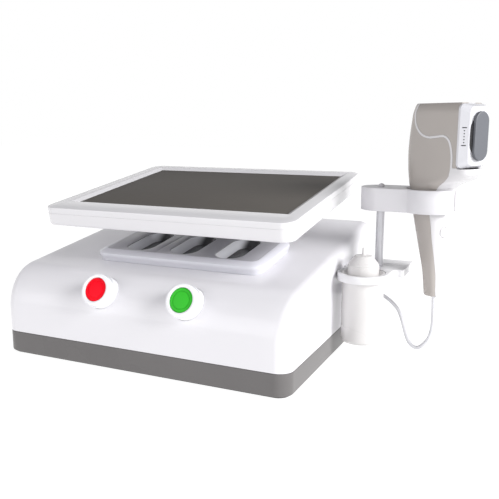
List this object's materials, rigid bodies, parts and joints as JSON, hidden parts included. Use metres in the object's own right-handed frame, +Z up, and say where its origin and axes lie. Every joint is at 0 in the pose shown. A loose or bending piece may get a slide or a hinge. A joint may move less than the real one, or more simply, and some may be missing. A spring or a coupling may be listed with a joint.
{
  "type": "ultrasound therapy device",
  "caption": "Desktop ultrasound therapy machine with a lifting flat touch display over a sloped console, push buttons, an accessory tray, a gel bottle ring and a cradled pistol handpiece.",
  "frame": {"origin": "middle of the console's footprint, on the plane the rubber rim stands on", "axes": "+X along the console's width towards the handpiece, +Y to the back, +Z up"},
  "size_m": [0.5703, 0.3604, 0.322],
  "materials": {
    "shell_white": "gloss white moulding",
    "band_grey": "satin grey moulding",
    "panel_metal": "bent sheet, light grey powder coat",
    "rubber_black": "matt black rubber",
    "fastener": "bright steel",
    "tray_grey": "satin mid grey inlay",
    "plastic_black": "black moulding",
    "circuit_green": "green circuit board",
    "heat_sink_alloy": "plain extruded alloy",
    "post_metal": "polished tube",
    "cable_white": "smooth white sheath",
    "arm_paint": "white painted alloy",
    "glass_dark": "unlit touch glass, warm dark grey",
    "button_red": "gloss red cap",
    "button_green": "gloss green cap",
    "hand_white": "gloss white moulding",
    "hand_beige": "satin warm beige covers",
    "cartridge_white": "gloss cool white moulding",
    "pad_grey": "soft grey membrane",
    "bottle_white": "soft white squeeze bottle",
    "gel_clear": "clear contact gel"
  },
  "bodies": {
    "console": {"base_tray": "band_grey", "top_shell": "shell_white", "rear_panel": "panel_metal", "chassis_plate": "panel_metal", "foot_rim": "rubber_black", "screws": "fastener", "tray_body": "shell_white", "tray_inlay": "tray_grey", "tray_pockets": "shell_white", "stop_bezel": "shell_white", "start_bezel": "shell_white", "button_bracket": "panel_metal", "button_nuts": "fastener", "button_switches": "plastic_black", "power_supply": "panel_metal", "main_board": "circuit_green", "driver_board": "circuit_green", "heat_sink": "heat_sink_alloy", "board_standoffs": "fastener", "fan_frame": "plastic_black", "mains_inlet": "plastic_black", "rocker_frame": "plastic_black", "handpiece_socket": "fastener", "stand_base": "shell_white", "lower_hinge_pin": "fastener", "holder_bracket": "shell_white", "holder_post": "post_metal", "cradle": "shell_white", "cradle_screw": "post_metal", "cable_plug": "shell_white", "handpiece_cable": "cable_white"},
    "lift_arm": {"lift_arm": "arm_paint"},
    "display": {"display_front_frame": "shell_white", "display_rear_cover": "shell_white", "display_glass": "glass_dark", "lcd_panel": "plastic_black", "display_board": "circuit_green", "display_bracket": "panel_metal", "display_screws": "fastener", "upper_hinge_pin": "fastener"},
    "stop_button": {"stop_button": "button_red"},
    "start_button": {"start_button": "button_green"},
    "power_rocker": {"power_rocker": "plastic_black"},
    "fan_rotor": {"fan_rotor": "plastic_black"},
    "handpiece": {"handpiece_core": "hand_white", "grip_covers": "hand_beige", "head_panels": "hand_beige", "scan_motor": "fastener", "handpiece_board": "circuit_green", "strain_relief": "cable_white"},
    "fire_button": {"fire_button": "hand_white"},
    "cartridge": {"cartridge_shell": "cartridge_white", "pad_seat": "plastic_black", "treatment_pad": "pad_grey"},
    "scan_screw": {"scan_screw": "fastener"},
    "scan_carriage": {"scan_carriage": "plastic_black"},
    "transducer": {"transducer": "fastener"},
    "bottle": {"bottle_body": "bottle_white", "gel_fill": "gel_clear"},
    "bottle_cap": {"bottle_cap": "bottle_white"}
  },
  "joints": [
    {"name": "arm_lift", "type": "hinge", "parent": "console", "child": "lift_arm", "pos_m": [0.0065, 0.128, 0.16429], "axis": [-1, 0, 0], "range_deg": [0, 75]},
    {"name": "display_tilt", "type": "hinge", "parent": "lift_arm", "child": "display", "pos_m": [0.0065, 0.018, 0.16701], "axis": [1, 0, 0], "range_deg": [0, 124]},
    {"name": "stop_press", "type": "slide", "parent": "console", "child": "stop_button", "axis": [0, 0.891, -0.454], "range_m": [0, 0.004], "stiffness_N_per_m": 1500, "springref_m": -0.001},
    {"name": "start_press", "type": "slide", "parent": "console", "child": "start_button", "axis": [0, 0.891, -0.454], "range_m": [0, 0.004], "stiffness_N_per_m": 1500, "springref_m": -0.001},
    {"name": "power_rock", "type": "hinge", "parent": "console", "child": "power_rocker", "pos_m": [0.088, 0.168, 0.102], "axis": [0, 0, 1], "range_deg": [-16, 0]},
    {"name": "fan_spin", "type": "hinge", "parent": "console", "child": "fan_rotor", "pos_m": [-0.08, 0.158, 0.084], "axis": [0, 1, 0], "continuous": true},
    {"name": "handpiece_lift", "type": "slide", "parent": "console", "child": "handpiece", "axis": [0, 0, 1], "range_m": [0, 0.155]},
    {"name": "fire_press", "type": "slide", "parent": "handpiece", "child": "fire_button", "axis": [-0.848, 0.5299, 0], "range_m": [0, 0.0015], "stiffness_N_per_m": 1200, "springref_m": -0.0005},
    {"name": "cartridge_pull", "type": "slide", "parent": "handpiece", "child": "cartridge", "axis": [0.848, -0.5299, 0], "range_m": [0, 0.03]},
    {"name": "carriage_slide", "type": "slide", "parent": "handpiece", "child": "scan_carriage", "axis": [0, 0, 1], "range_m": [-0.012, 0.012]},
    {"name": "scan_screw_spin", "type": "hinge", "parent": "handpiece", "child": "scan_screw", "pos_m": [0.32944, 0.0351, 0.28], "axis": [0, 0, 1], "range_deg": [-870, 870]},
    {"name": "transducer_slide", "type": "slide", "parent": "cartridge", "child": "transducer", "axis": [0, 0, 1], "range_m": [-0.0125, 0.0125]},
    {"name": "bottle_lift", "type": "slide", "parent": "console", "child": "bottle", "axis": [0, 0, 1], "range_m": [0, 0.072]},
    {"name": "cap_lift", "type": "slide", "parent": "bottle", "child": "bottle_cap", "axis": [0, 0, 1], "range_m": [0, 0.035]}
  ],
  "couplings": [
    {"joint": "display_tilt", "follows": "arm_lift", "ratio": 1.65},
    {"joint": "scan_screw_spin", "follows": "carriage_slide", "rad_per_m": 1256.6},
    {"joint": "transducer_slide", "follows": "carriage_slide", "ratio": 1}
  ]
}
